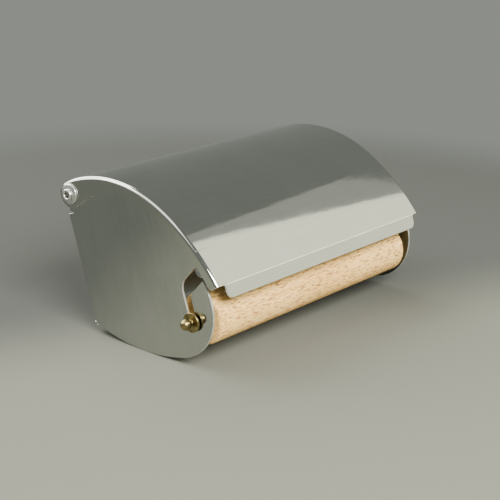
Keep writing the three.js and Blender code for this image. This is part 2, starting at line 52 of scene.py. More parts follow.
# Sizes are in millimetres, and heights count from the lower rear corner of the side plates.
MM = 0.001
FRAME_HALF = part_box("frame")[1].x / MM
FRAME_SHEET = 1.0
FRAME_EASE = 0.12
FRAME_BEND = 2.0
BEND_STEPS = 12
BACK_TOP = 48.0
BACK_FOOT = 3.0
FOOT_HALF = FRAME_HALF - 1.2
FOOT_CORNER = 0.8
FOOT_SHOULDER = 0.4
SLIT_HEIGHT = 0.8
SLIT_END = 3.6
REAR_STEP = 2.5
REAR_LAND = 2.0

NOSE = (-53.0, 2.2)
NOSE_RADIUS = 21.8
BELLY_RADIUS = 86.0
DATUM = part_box("frame")[0].z / MM - (NOSE[1] - NOSE_RADIUS)

PIVOT = (-6.6, 56.5)
PLATE_EAR_RADIUS = 4.2
HINGE_HOLE = 2.08
PLATE_TOP_DEPTH = 1.4
PLATE_TOP_END = -0.15
PLATE_TOP_STEPS = 120
PLATE_EAR_END = -math.radians(54)

SLOT_MIDDLE = -62.2
SLOT_HALF = 2.0
SEAT_HEIGHT = -4.7
SEAT = (SLOT_MIDDLE, SEAT_HEIGHT)
DIAGONAL_HALF = 3.15
DIAGONAL_HEIGHT = 9.1
DIAGONAL_SLOPE = math.radians(30)
SLOT_OUTER_ROUND = 3.5
SLOT_INNER_ROUND = 1.6
TIP_ROUND = 0.9
TIP_LEAD = 0.05
BROW_LEAD = 0.02

SCREW_HOLE = 3.85
SCREW_HOLES = ((0.0, 5.4), (-45.0, 39.0), (45.0, 39.0))

# The hood's outer curve, which the top edge of the side plates follows from inside: a short arc
# falling to the rear edge, the long crown and a flatter arc to the front. Angles lean from
# straight up, positive towards the front.
CROWN = (-12.7, 62.7)
REAR_ARC = 42.3
TOP_ARC = 65.9
FRONT_ARC = 97.0
TOP_SWEEP = math.radians(46.2)
FRONT_ANGLE = TOP_SWEEP + math.radians(23.7)
HOOD_REAR = -2.8
REAR_ANGLE = -math.asin((HOOD_REAR - CROWN[0]) / REAR_ARC)


def hood_point(angle, depth=0.0):
    """The point (y, z) at an angle of the hood's curve, so deep below its outer face."""
    y, z, radius = CROWN[0], CROWN[1] - TOP_ARC, TOP_ARC
    if angle < 0:
        z, radius = CROWN[1] - REAR_ARC, REAR_ARC
    if angle > TOP_SWEEP:
        y += (FRONT_ARC - TOP_ARC) * math.sin(TOP_SWEEP)
        z -= (FRONT_ARC - TOP_ARC) * math.cos(TOP_SWEEP)
        radius = FRONT_ARC
    reach = radius - depth
    return (y - reach * math.sin(angle), z + reach * math.cos(angle))


def spread(start, end, steps):
    """Even values from start to end, both included."""
    return [start + (end - start) * i / steps for i in range(steps + 1)]


def arc(centre, radius, start, end, step=0.6):
    """Points of a circular arc; step is their spacing along it."""
    steps = max(4, math.ceil(abs(end - start) * radius / step))
    return [(centre[0] + radius * math.cos(a), centre[1] + radius * math.sin(a))
            for a in spread(start, end, steps)]


def towards(a, b, distance):
    """The point at a distance from a on the way to b."""
    ratio = distance / math.dist(a, b)
    return (a[0] + (b[0] - a[0]) * ratio, a[1] + (b[1] - a[1]) * ratio)


def rounded(a, corner, b, size, steps=8):
    """The corner between a and b, eased over a length on either side."""
    p, q = towards(corner, a, size), towards(corner, b, size)
    return [tuple((1 - t) ** 2 * p[i] + 2 * t * (1 - t) * corner[i] + t * t * q[i] for i in (0, 1))
            for t in spread(0, 1, steps)]


def halve(low, high, is_low):
    """Closes in on the value where is_low turns false."""
    for _ in range(40):
        middle = (low + high) / 2
        low, high = (middle, high) if is_low(middle) else (low, middle)
    return low


def diagonal(y, beside):
    """Height at y of the line that runs beside the slot's slanted centre line."""
    lean = DIAGONAL_SLOPE
    return DIAGONAL_HEIGHT + (beside - (y - SLOT_MIDDLE) * math.sin(lean)) / math.cos(lean)


def side_outline():
    """The side plate's edge (y, z) from its lower rear corner forwards, round and back up."""
    between = BELLY_RADIUS - NOSE_RADIUS
    reach = math.hypot(*NOSE)
    along = (reach ** 2 + between ** 2 - BELLY_RADIUS ** 2) / (2 * between)
    meet = math.atan2(NOSE[1], NOSE[0]) + math.acos(along / reach)
    belly = (NOSE[0] - between * math.cos(meet), NOSE[1] - between * math.sin(meet))
    corner = math.atan2(-belly[1], -belly[0])
    meet_down = meet - 2 * math.pi if meet > math.pi else meet

    def nose(angle):
        return arc(NOSE, NOSE_RADIUS, angle, angle)[0]

    def below_line(angle):
        y, z = nose(angle)
        return z > diagonal(y, -DIAGONAL_HALF)

    tongue = halve(math.pi / 2, math.pi, below_line)
    tip = nose(tongue)
    lower = (SLOT_MIDDLE - SLOT_HALF, diagonal(SLOT_MIDDLE - SLOT_HALF, -DIAGONAL_HALF))
    upper = (SLOT_MIDDLE + SLOT_HALF, diagonal(SLOT_MIDDLE + SLOT_HALF, DIAGONAL_HALF))

    def above_line(angle):
        y, z = hood_point(angle, PLATE_TOP_DEPTH)
        return z > diagonal(y, DIAGONAL_HALF)

    mouth = halve(TOP_SWEEP, FRONT_ANGLE, above_line)
    brow = hood_point(mouth, PLATE_TOP_DEPTH)
    before_tip = nose(tongue + TIP_LEAD)
    points = arc(belly, BELLY_RADIUS, corner, meet_down)
    points += arc(NOSE, NOSE_RADIUS, meet_down, tongue - 2 * math.pi + TIP_LEAD)[1:]
    points += rounded(before_tip, tip, lower, TIP_ROUND)
    points += rounded(tip, lower, seat_edge(-1), SLOT_INNER_ROUND)
    points += arc(SEAT, SLOT_HALF, -math.pi, 0, step=0.3)
    points += rounded(seat_edge(1), upper, brow, SLOT_OUTER_ROUND)
    after_brow = hood_point(mouth - BROW_LEAD, PLATE_TOP_DEPTH)
    points += rounded(upper, brow, after_brow, TIP_ROUND)
    top_angles = spread(mouth - BROW_LEAD, PLATE_TOP_END, PLATE_TOP_STEPS)
    points += [hood_point(a, PLATE_TOP_DEPTH) for a in top_angles]
    points += arc(PIVOT, PLATE_EAR_RADIUS, math.pi / 2, PLATE_EAR_END, step=0.4)
    slit = BACK_TOP + SLIT_HEIGHT
    points += [(-REAR_STEP, slit + REAR_LAND), (-REAR_STEP, slit)]
    slit_middle = (-SLIT_END, BACK_TOP + SLIT_HEIGHT / 2)
    points += arc(slit_middle, SLIT_HEIGHT / 2, math.pi / 2, 1.5 * math.pi, step=0.2)
    points += [(0.0, BACK_TOP)]
    return points


def seat_edge(side):
    """The end of the slot's round seat in front, for side -1, or behind it, for side 1."""
    return (SLOT_MIDDLE + side * SLOT_HALF, SEAT_HEIGHT)


def unbend(y):
    """How far across the flat blank a point of the side plate lies."""
    across = FRAME_HALF - FRAME_BEND
    if y > -FRAME_BEND:
        return across + FRAME_BEND * math.acos(1 + y / FRAME_BEND)
    return across + FRAME_BEND * math.pi / 2 - y - FRAME_BEND


def fold_frame(point):
    """Folds a point of the blank, (across, height), to its place in the U."""
    across, height = point.x, point.y
    flat = FRAME_HALF - FRAME_BEND
    beyond = abs(across) - flat
    side = math.copysign(1, across)
    if beyond <= 0:
        return Vector((across, 0, height))
    angle = beyond / FRAME_BEND
    if angle < math.pi / 2:
        x = flat + FRAME_BEND * math.sin(angle)
        return Vector((side * x, FRAME_BEND * (math.cos(angle) - 1), height))
    return Vector((side * FRAME_HALF, -FRAME_BEND - beyond + FRAME_BEND * math.pi / 2, height))


ON_LINE = 1e-3


def on_one_line(a, b, lines_x, lines_y):
    """Whether two points of the blank lie on the same dividing line."""
    if abs(a.x - b.x) < ON_LINE:
        return any(abs(a.x - place) < ON_LINE for place in lines_x)
    return abs(a.y - b.y) < ON_LINE and any(abs(a.y - place) < ON_LINE for place in lines_y)


def ring_of(hole):
    """The centre and the radius of a punched hole."""
    centre = sum((Vector(p) for p in hole), Vector((0, 0))) / len(hole)
    return centre, max((Vector(p) - centre).length for p in hole)


def cut_blank(outline, holes, lines_x, lines_y):
    """A flat sheet with its outline and holes cut, divided along lines so that it can bend."""
    corners, edges = [], []
    for loop in [outline, *holes]:
        start = len(corners)
        corners += [Vector(p) for p in loop]
        edges += [(start + i, start + (i + 1) % len(loop)) for i in range(len(loop))]
    points, _, faces, *_ = delaunay_2d_cdt(corners, edges, [], 2, 1e-5)
    rings = [ring_of(hole) for hole in holes]
    sheet = bmesh.new()
    made = [sheet.verts.new((p.x, p.y, 0)) for p in points]
    for face in faces:
        middle = sum((points[i] for i in face), Vector((0, 0))) / len(face)
        if all((middle - centre).length > radius for centre, radius in rings):
            sheet.faces.new([made[i] for i in reversed(face)])
    for normal, places in (((1, 0, 0), lines_x), ((0, 1, 0), lines_y)):
        for place in places:
            everything = sheet.verts[:] + sheet.edges[:] + sheet.faces[:]
            at = Vector(normal) * place
            bmesh.ops.bisect_plane(sheet, geom=everything, plane_co=at, plane_no=normal, dist=1e-4)
    spare = [edge for edge in sheet.edges if len(edge.link_faces) == 2
             and not on_one_line(edge.verts[0].co, edge.verts[1].co, lines_x, lines_y)]
    bmesh.ops.dissolve_edges(sheet, edges=spare, use_verts=False)
    passed = [vertex for vertex in sheet.verts if len(vertex.link_edges) == 2
              and all(len(edge.link_faces) == 2 for edge in vertex.link_edges)]
    bmesh.ops.dissolve_verts(sheet, verts=passed)
    return sheet


def mesh_object(name, shape):
    """Turns a bmesh in millimetres into an object in metres, at the holder's height."""
    for vertex in shape.verts:
        vertex.co = (vertex.co + Vector((0, 0, DATUM))) * MM
    data = bpy.data.meshes.new(name)
    shape.to_mesh(data)
    shape.free()
    piece = bpy.data.objects.new(name, data)
    bpy.context.scene.collection.objects.link(piece)
    return piece


def settle(piece):
    """Applies a piece's modifiers for good, so that it is a plain mesh."""
    depsgraph = bpy.context.evaluated_depsgraph_get()
    plain = bpy.data.meshes.new_from_object(piece.evaluated_get(depsgraph))
    piece.modifiers.clear()
    piece.data = plain
    plain.name = piece.name


def thicken(piece, sheet, edge):
    """Gives a folded skin its thickness, inwards from the outer face, and eases its edges. The
    inner face takes the skin's second material and the cut edges its third."""
    wall = piece.modifiers.new("wall", "SOLIDIFY")
    wall.thickness = sheet * MM
    wall.offset = -1
    wall.use_even_offset = True
    wall.material_offset = 1
    wall.material_offset_rim = 2
    ease = piece.modifiers.new("edge", "BEVEL")
    ease.width = edge * MM
    ease.segments = 2
    ease.limit_method = "ANGLE"
    ease.angle_limit = math.radians(50)
    ease.use_clamp_overlap = False
    ease.harden_normals = False
    settle(piece)


def smooth(piece, angle=35):
    """Shades a piece smoothly up to an angle, with its large faces kept flat."""
    for polygon in piece.data.polygons:
        polygon.use_smooth = True
    piece.data.set_sharp_from_angle(angle=math.radians(angle))
    shading = piece.modifiers.new("shading", "WEIGHTED_NORMAL")
    shading.mode = "FACE_AREA"
    shading.keep_sharp = True
    settle(piece)


side = side_outline()
foot = [(0.0, -BACK_FOOT)]
foot += rounded((0, -BACK_FOOT), (FOOT_HALF, -BACK_FOOT), (FOOT_HALF, 0), FOOT_CORNER)
foot_y = FRAME_BEND * (math.cos(math.asin((FOOT_HALF - FRAME_HALF + FRAME_BEND) / FRAME_BEND)) - 1)
right_half = foot + [(FOOT_HALF, -FOOT_SHOULDER)]
right_half += [(unbend(y), z) for y, z in side if y <= foot_y or z > 0]
right_half += [(0.0, BACK_TOP)]
left_half = [(-x, z) for x, z in reversed(right_half[1:-1])]

hinge_holes = []
for hand in (-1, 1):
    middle = (hand * unbend(PIVOT[0]), PIVOT[1])
    hinge_holes.append(arc(middle, HINGE_HOLE, 0, 2 * math.pi, step=0.3)[:-1])
screw_holes = [arc(place, SCREW_HOLE, 0, 2 * math.pi, step=0.4)[:-1] for place in SCREW_HOLES]

bend_start = FRAME_HALF - FRAME_BEND
bend_lines = spread(bend_start, bend_start + FRAME_BEND * math.pi / 2, BEND_STEPS)
blank = cut_blank(
    right_half + left_half,
    hinge_holes + screw_holes,
    bend_lines + [-x for x in bend_lines],
    [SCREW_HOLES[0][1], SCREW_HOLES[1][1], PIVOT[1]],
)
for vertex in blank.verts:
    vertex.co = fold_frame(vertex.co)
frame_sheet = mesh_object("frame_sheet", blank)


class Value:
    """A socket that can be used in a sum, such as 1 - mask or grain * 0.2."""

    def __init__(self, builder, node, socket):
        self.builder, self.node, self.socket = builder, node, socket

    def out(self, name):
        """Another output of the same node."""
        return Value(self.builder, self.node, self.node.outputs[name])

    def sum(self, operation, first, second):
        return self.builder.add("ShaderNodeMath", {"operation": operation}, {0: first, 1: second})

    def __add__(self, other):
        return self.sum("ADD", self, other)

    def __radd__(self, other):
        return self.sum("ADD", other, self)

    def __sub__(self, other):
        return self.sum("SUBTRACT", self, other)

    def __rsub__(self, other):
        return self.sum("SUBTRACT", other, self)

    def __mul__(self, other):
        return self.sum("MULTIPLY", self, other)

    def __rmul__(self, other):
        return self.sum("MULTIPLY", other, self)


class Builder:
    """Fills a node tree, of a material or of a geometry modifier."""

    def __init__(self, tree):
        self.tree = tree
        tree.nodes.clear()

    def add(self, kind, settings=None, inputs=None, output=0):
        """One node: its settings first, then values or links for its sockets."""
        node = self.tree.nodes.new(kind)
        for name, value in (settings or {}).items():
            if name == "stops":
                self.set_stops(node.color_ramp.elements, value)
            else:
                setattr(node, name, value)
        for key, value in (inputs or {}).items():
            if isinstance(value, Value):
                self.tree.links.new(value.socket, node.inputs[key])
            else:
                node.inputs[key].default_value = value
        return Value(self, node, node.outputs[output] if node.outputs else None)

    def set_stops(self, elements, stops):
        while len(elements) < len(stops):
            elements.new(1.0)
        for element, (position, level) in zip(elements, stops):
            element.position = position
            element.color = (level, level, level, 1) if isinstance(level, float) else (*level, 1)


def material(name):
    """A new node material, and the builder that fills it."""
    made = bpy.data.materials.new(name)
    made.use_nodes = True
    return made, Builder(made.node_tree)


def noise(nodes, scale, stretch, detail, turn=(0, 0, 0)):
    """Noise in the piece's own space; scale is the number of grains in a metre."""
    place = nodes.add("ShaderNodeTexCoord", output="Object")
    place = nodes.add("ShaderNodeMapping", {}, {"Vector": place, "Scale": stretch, "Rotation": turn})
    return nodes.add("ShaderNodeTexNoise", {}, {
        "Vector": place, "Scale": scale, "Detail": detail, "Roughness": 0.6,
    })


def ramp(nodes, value, *stops):
    """A value read off a ramp, whose stops are a position and a level or a colour each."""
    return nodes.add("ShaderNodeValToRGB", {"stops": stops}, {"Fac": value})


def bump(nodes, strength, distance, height):
    """A relief for a shader's normal, with its depth in metres."""
    return nodes.add("ShaderNodeBump", {}, {
        "Strength": strength, "Distance": distance, "Height": height,
    })


def bare_metal(nodes, tone, rough, relief):
    """Ends a material in uncoated metal."""
    shader = nodes.add("ShaderNodeBsdfPrincipled", {}, {
        "Base Color": tone, "Metallic": 1.0, "Roughness": rough, "Normal": relief,
    })
    nodes.add("ShaderNodeOutputMaterial", {}, {"Surface": shader})


EVEN = (1, 1, 1)
GRAIN_UPWARDS = (12, 12, 1)
GRAIN_SIDEWAYS = (1, 12, 12)
SWIM_ALONG = 0.35


def polished_steel(name, dark, light, gloss, grain):
    """Bright stainless sheet: a faint rolled grain along one way, cloudy polish, fine scratches
    and a very slight unevenness that makes its reflections swim."""
    made, nodes = material(name)
    lines = noise(nodes, 60.0, grain, 6.0)
    clouds = noise(nodes, 45.0, EVEN, 3.0)
    swim_grain = tuple(SWIM_ALONG if way == 1 else 1.0 for way in grain)
    swim = noise(nodes, 160.0, swim_grain, 2.0)
    scratch = noise(nodes, 25.0, (1, 9, 40), 2.0, (0.5, 0.3, 0.8))
    scratch = ramp(nodes, scratch, (0.66, 0.0), (0.7, 1.0))
    tone = ramp(nodes, lines * 0.5 + clouds * 0.5, (0.3, dark), (0.7, light))
    rough = gloss + (lines - 0.5) * 0.06 + (clouds - 0.5) * 0.1 + scratch * 0.12
    bare_metal(nodes, tone, rough, bump(nodes, 0.12, 0.0002, swim + lines * 0.25))
    return made


def sheared_edge():
    """The cut edge of a sheet: satin, with the fine upright marks of the shear."""
    made, nodes = material("cut_edge")
    marks = noise(nodes, 900.0, (1, 1, 0.15), 3.0)
    tone = ramp(nodes, marks, (0.35, (0.68, 0.69, 0.65)), (0.65, (0.97, 0.97, 0.93)))
    bare_metal(nodes, tone, 0.42 + marks * 0.2, bump(nodes, 0.2, 0.00005, marks))
    return made


# The sheet is polished outside only, so its inner face is duller; its darker tone is painted shade.
cut_edge = sheared_edge()
frame_steel = polished_steel(
    "frame_steel", dark=(0.44, 0.46, 0.435), light=(0.55, 0.565, 0.545),
    gloss=0.07, grain=GRAIN_UPWARDS)
# The inner face: duller finish, and a darker tone that is painted shade for the holder's inside.
frame_inside = polished_steel(
    "frame_inside", dark=(0.22, 0.235, 0.225), light=(0.30, 0.315, 0.30),
    gloss=0.28, grain=GRAIN_UPWARDS)
for finish in (frame_steel, frame_inside, cut_edge):
    frame_sheet.data.materials.append(finish)
thicken(frame_sheet, FRAME_SHEET, FRAME_EASE)
# Easing the edges may push the rear face past the wall, which is at y = 0.
for vertex in frame_sheet.data.vertices:
    vertex.co.y = min(vertex.co.y, 0.0)
smooth(frame_sheet)
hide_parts("frame")
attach(frame_sheet, "frame")


# ---------------------------------------------------------------- hood
# A 0.8 mm stainless sheet bent to a crown, with a flange folded down each end that widens to a
# round ear at the hinge, and a lip turned down along the front to tear the paper against.
# The blank is first folded across, as a straight channel, then bent along the crown's path.

HOOD_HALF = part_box("hood")[1].x / MM
HOOD_SHEET = 0.8
HOOD_EASE = 0.1
HOOD_FOLD = 1.6
FLANGE_DEPTH = 4.6
FLANGE_CORNER = 2.0
FLANGE_BAND_START = math.radians(35.5)
FLANGE_PULL = 14.0
EAR_RADIUS = 6.3
EAR_LEAVE = math.radians(21.5)
LIP_HALF = HOOD_HALF - 5.0
LIP_BEND = 1.5
LIP_LENGTH = 5.5
LIP_CORNER = 3.0
NOTCH_ROUND = 1.0
# The polished outer face lies this far inside the crown's nominal curve.
POLISHED_OFF = 0.03
# The bent path starts behind the rear edge and ends below the lip, so that all of the blank
# lies on it. Its steps are those of the rear arc, the top arc and the front arc.
PATH_LEAD = 6.0
PATH_TRAIL = 1.0
PATH_STEPS = (80, 240, 160)
LIP_PATH_STEPS = 20
BLANK_REAR = -5.0
CROWN_LINES = 96
LIP_LINES = 6
FLANGE_STEPS = 40

crown_length = (-REAR_ANGLE * REAR_ARC, TOP_SWEEP * TOP_ARC, (FRONT_ANGLE - TOP_SWEEP) * FRONT_ARC)
SKIN_END = sum(crown_length)
LIP_TURN = math.pi / 2 - FRONT_ANGLE
LIP_END = SKIN_END + LIP_TURN * LIP_BEND + LIP_LENGTH


def along_and_depth(point):
    """Where a side-view point (y, z) lies on the hood: its length along the crown from the rear
    edge, and its depth below the outer face."""
    y, z = point
    rear = (CROWN[0], CROWN[1] - REAR_ARC)
    if y > CROWN[0]:
        angle = math.atan2(rear[0] - y, z - rear[1])
        return (angle - REAR_ANGLE) * REAR_ARC, REAR_ARC - math.dist(point, rear)
    top = (CROWN[0], CROWN[1] - TOP_ARC)
    angle = math.atan2(top[0] - y, z - top[1])
    return crown_length[0] + angle * TOP_ARC, TOP_ARC - math.dist(point, top)


def across_blank(depth):
    """How far across the blank a depth on the flange lies."""
    return HOOD_HALF - HOOD_FOLD + HOOD_FOLD * math.pi / 2 + depth - HOOD_FOLD


def bezier(p0, p1, p2, p3, steps):
    """Points of a curve from p0 to p3 that p1 and p2 pull at."""
    return [tuple((1 - t) ** 3 * a + 3 * t * (1 - t) ** 2 * b + 3 * t * t * (1 - t) * c + t ** 3 * d
                  for a, b, c, d in zip(p0, p1, p2, p3)) for t in spread(0, 1, steps)]


def flange_edge():
    """The right flange's free edge on the blank, (across, along), from the rear to the front."""
    def on_ear(angle):
        return (PIVOT[0] + EAR_RADIUS * math.cos(angle), PIVOT[1] + EAR_RADIUS * math.sin(angle))

    ear_start = halve(0, math.pi / 3, lambda a: along_and_depth(on_ear(a))[1] > HOOD_FOLD)
    ear = arc(PIVOT, EAR_RADIUS, ear_start, -math.pi / 2 - EAR_LEAVE, step=0.5)
    leave = ear[-1]
    band = hood_point(FLANGE_BAND_START, FLANGE_DEPTH)
    pull_a = (leave[0] - FLANGE_PULL * math.cos(EAR_LEAVE),
              leave[1] + FLANGE_PULL * math.sin(EAR_LEAVE))
    pull_b = (band[0] + FLANGE_PULL * math.cos(FLANGE_BAND_START),
              band[1] + FLANGE_PULL * math.sin(FLANGE_BAND_START))
    dip = bezier(leave, pull_a, pull_b, band, FLANGE_STEPS)
    edge = [along_and_depth(p) for p in ear + dip[1:]]
    band_along = edge[-1][0]
    straight = spread(band_along, SKIN_END - FLANGE_CORNER, FLANGE_STEPS)[1:]
    edge += [(along, FLANGE_DEPTH) for along in straight]
    corner = (SKIN_END, FLANGE_DEPTH)
    edge += rounded((band_along, FLANGE_DEPTH), corner, (SKIN_END, 0), FLANGE_CORNER)[1:]
    return [(across_blank(depth), along) for along, depth in edge]


def lip_edge():
    """The right half of the front edge, (across, along), from the flange to the middle."""
    points = [(HOOD_HALF - HOOD_FOLD, SKIN_END)]
    points += rounded((HOOD_HALF, SKIN_END), (LIP_HALF, SKIN_END), (LIP_HALF, LIP_END), NOTCH_ROUND)
    points += arc((LIP_HALF - LIP_CORNER, LIP_END - LIP_CORNER), LIP_CORNER, 0, math.pi / 2, step=0.3)
    return points


def fold_channel(point):
    """Folds the blank across: (across, along) becomes (x, along, depth below the outer face)."""
    across, along = point.x, point.y
    flat = HOOD_HALF - HOOD_FOLD
    beyond = abs(across) - flat
    side = math.copysign(1, across)
    if beyond <= 0:
        return Vector((across, along, 0))
    angle = beyond / HOOD_FOLD
    if angle < math.pi / 2:
        x = flat + HOOD_FOLD * math.sin(angle)
        return Vector((side * x, along, HOOD_FOLD * (1 - math.cos(angle))))
    return Vector((side * HOOD_HALF, along, HOOD_FOLD + beyond - HOOD_FOLD * math.pi / 2))


def crown_path():
    """The bent sheet's outer line from behind the rear edge to the lip's lower edge."""
    lead = PATH_LEAD / REAR_ARC
    turns = [REAR_ANGLE - lead, 0, TOP_SWEEP, FRONT_ANGLE]
    angles = turns[:1]
    for start, end, steps in zip(turns, turns[1:], PATH_STEPS):
        angles += spread(start, end, steps)[1:]
    points = [hood_point(angle, POLISHED_OFF) for angle in angles]
    centre = hood_point(FRONT_ANGLE, LIP_BEND)
    points += arc(centre, LIP_BEND - POLISHED_OFF, math.pi - LIP_TURN, math.pi, step=0.05)[1:]
    end = points[-1]
    bottom = end[1] - LIP_LENGTH - PATH_TRAIL
    points += [(end[0], z) for z in spread(end[1], bottom, LIP_PATH_STEPS)[1:]]
    curve = bpy.data.curves.new("crown_path", "CURVE")
    curve.dimensions = "3D"
    line = curve.splines.new("POLY")
    line.points.add(len(points) - 1)
    for spot, (y, z) in zip(line.points, points):
        spot.co = (0, y * MM, (z + DATUM) * MM, 1)
    path = bpy.data.objects.new("crown_path", curve)
    bpy.context.scene.collection.objects.link(path)
    return path


def new_geometry_tree(name, inputs):
    """A geometry tree with one geometry in and out and named inputs for its sizes."""
    tree = bpy.data.node_groups.new(name, "GeometryNodeTree")
    tree.interface.new_socket("Geometry", in_out="OUTPUT", socket_type="NodeSocketGeometry")
    tree.interface.new_socket("Geometry", in_out="INPUT", socket_type="NodeSocketGeometry")
    for label, kind in inputs:
        tree.interface.new_socket(label, in_out="INPUT", socket_type=kind)
    return tree


def run_geometry(piece, tree, values):
    """Puts the tree on a piece with its named inputs set."""
    modifier = piece.modifiers.new(tree.name, "NODES")
    modifier.node_group = tree
    for item in tree.interface.items_tree:
        if item.in_out == "INPUT" and item.name in values:
            modifier[item.identifier] = values[item.name]


def bend_tree():
    """Bends a channel along a path: y is the length along it and z the depth below it."""
    tree = new_geometry_tree("bend_along_crown", [
        ("Crown path", "NodeSocketObject"), ("Lead", "NodeSocketFloat"),
        ("Finish", "NodeSocketMaterial"),
    ])
    nodes = Builder(tree)
    given = nodes.add("NodeGroupInput", output="Geometry")
    place = nodes.add("GeometryNodeInputPosition")
    parts = nodes.add("ShaderNodeSeparateXYZ", {}, {"Vector": place}, "X")
    path = nodes.add("GeometryNodeObjectInfo", {"transform_space": "ORIGINAL"},
                     {"Object": given.out("Crown path")}, "Geometry")
    on_path = nodes.add("GeometryNodeSampleCurve", {"mode": "LENGTH", "use_all_curves": True}, {
        "Curves": path, "Length": parts.out("Y") + given.out("Lead"),
    }, "Position")
    inward = nodes.add("ShaderNodeVectorMath", {"operation": "CROSS_PRODUCT"},
                       {0: (1.0, 0.0, 0.0), 1: on_path.out("Tangent")})
    inward = nodes.add("ShaderNodeVectorMath", {"operation": "NORMALIZE"}, {0: inward})
    drop = nodes.add("ShaderNodeVectorMath", {"operation": "SCALE"},
                     {0: inward, "Scale": parts.out("Z")})
    sideways = nodes.add("ShaderNodeCombineXYZ", {}, {"X": parts})
    spot = nodes.add("ShaderNodeVectorMath", {"operation": "ADD"}, {0: on_path, 1: drop})
    spot = nodes.add("ShaderNodeVectorMath", {"operation": "ADD"}, {0: spot, 1: sideways})
    bent = nodes.add("GeometryNodeSetPosition", {}, {"Geometry": given, "Position": spot})
    real = nodes.add("GeometryNodeRealizeInstances", {}, {"Geometry": bent})
    finished = nodes.add("GeometryNodeSetMaterial", {},
                         {"Geometry": real, "Material": given.out("Finish")})
    nodes.add("NodeGroupOutput", {}, {"Geometry": finished})
    return tree


hood_right = [(0.0, 0.0), (HOOD_HALF - HOOD_FOLD, 0.0), (across_blank(HOOD_FOLD), 0.0)]
hood_right += flange_edge()
hood_right += lip_edge()
hood_right += [(0.0, LIP_END)]
hood_left = [(-x, s) for x, s in reversed(hood_right[1:-1])]


def flange_hole(hand):
    """The rivet's hole on the blank."""
    hole = arc(PIVOT, HINGE_HOLE, 0, 2 * math.pi, step=0.3)[:-1]
    spots = [along_and_depth(p) for p in hole]
    return [(hand * across_blank(depth), along) for along, depth in spots]


fold_start = HOOD_HALF - HOOD_FOLD
fold_lines = spread(fold_start, fold_start + HOOD_FOLD * math.pi / 2, BEND_STEPS)
crown_lines = spread(BLANK_REAR, SKIN_END, CROWN_LINES)
crown_lines += spread(SKIN_END, LIP_END - LIP_LENGTH, LIP_LINES)[1:]
hood_blank = cut_blank(
    hood_right + hood_left,
    [flange_hole(-1), flange_hole(1)],
    fold_lines + [-x for x in fold_lines],
    crown_lines,
)
for vertex in hood_blank.verts:
    vertex.co = fold_channel(vertex.co) - Vector((0, 0, DATUM))
hood_sheet = mesh_object("hood_sheet", hood_blank)

hood_steel = polished_steel(
    "hood_steel", dark=(0.48, 0.495, 0.45), light=(0.53, 0.545, 0.50),
    gloss=0.07, grain=GRAIN_SIDEWAYS)
# The hood's inner face is duller, and its darker tone is painted shade for the hood's shaded inside.
hood_inside = polished_steel(
    "hood_inside", dark=(0.20, 0.21, 0.20), light=(0.27, 0.28, 0.265),
    gloss=0.30, grain=GRAIN_SIDEWAYS)
path = crown_path()
run_geometry(hood_sheet, bend_tree(), {
    "Crown path": path, "Lead": PATH_LEAD * MM, "Finish": hood_steel,
})
settle(hood_sheet)
bpy.data.objects.remove(path)
hood_sheet.data.materials.append(hood_inside)
hood_sheet.data.materials.append(cut_edge)
thicken(hood_sheet, HOOD_SHEET, HOOD_EASE)
smooth(hood_sheet)
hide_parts("hood")
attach(hood_sheet, "hood")


# ---------------------------------------------------------------- hinge rivets and washers
# On each side a hollow steel rivet holds the hood's ear to the side plate. Its flat head is
# inside, and its outer end is rolled over a round, slightly domed washer. Both are turned about
# the pivot from one outline and set at the two sides.

WASHER_RADIUS = 4.6
WASHER_HOLE = 2.08
STACK_GAP = 0.05
WASHER_START = HOOD_HALF - FRAME_HALF + STACK_GAP
WASHER_SHEET = 0.8
WASHER_DOME = 0.4
WASHER_EASE = 0.15
WASHER_RIM = 0.4
RIVET_RADIUS = 2.0
RIVET_BORE = 1.45
RIVET_HEAD = 3.5
RIVET_HEAD_SHEET = 0.8
RIVET_HEAD_EASE = 0.4
RIVET_ROLL = 0.55
ROLL_START = 0.1


def turned(name, outline, steps):
    """Turns an outline of (distance along X, radius) about the X axis. The piece starts on its
    own axis, so the holder's height is taken off before mesh_object adds it."""
    shape = bmesh.new()
    ring = [shape.verts.new((along, 0, radius)) for along, radius in outline]
    edges = [shape.edges.new(pair) for pair in zip(ring, ring[1:])]
    bmesh.ops.spin(shape, geom=ring + edges, axis=(1, 0, 0), cent=(0, 0, 0),
                   steps=steps, angle=2 * math.pi, use_merge=False)
    bmesh.ops.remove_doubles(shape, verts=shape.verts, dist=1e-4)
    bmesh.ops.recalc_face_normals(shape, faces=shape.faces)
    for vertex in shape.verts:
        vertex.co.z -= DATUM
    return mesh_object(name, shape)


def pair_tree():
    """Sets a turned piece at both ends of an axis, the left one turned round to face outwards."""
    tree = new_geometry_tree("set_on_both_sides", [
        ("Half width", "NodeSocketFloat"), ("Forward", "NodeSocketFloat"),
        ("Height", "NodeSocketFloat"), ("Finish", "NodeSocketMaterial"),
    ])
    nodes = Builder(tree)
    given = nodes.add("NodeGroupInput", output="Geometry")
    ends = []
    for hand in (-1.0, 1.0):
        ends.append(nodes.add("ShaderNodeCombineXYZ", {}, {
            "X": given.out("Half width") * hand, "Y": given.out("Forward"),
            "Z": given.out("Height"),
        }))
    line = nodes.add("GeometryNodeMeshLine", {"mode": "END_POINTS"},
                     {"Count": 2, "Start Location": ends[0], "Offset": ends[1]})
    index = nodes.add("GeometryNodeInputIndex")
    turn = nodes.add("ShaderNodeCombineXYZ", {}, {"Z": (1.0 - index) * math.pi})
    both = nodes.add("GeometryNodeInstanceOnPoints", {},
                     {"Points": line, "Instance": given, "Rotation": turn})
    real = nodes.add("GeometryNodeRealizeInstances", {}, {"Geometry": both})
    finished = nodes.add("GeometryNodeSetMaterial", {},
                         {"Geometry": real, "Material": given.out("Finish")})
    nodes.add("NodeGroupOutput", {}, {"Geometry": finished})
    return tree


on_both_sides = pair_tree()


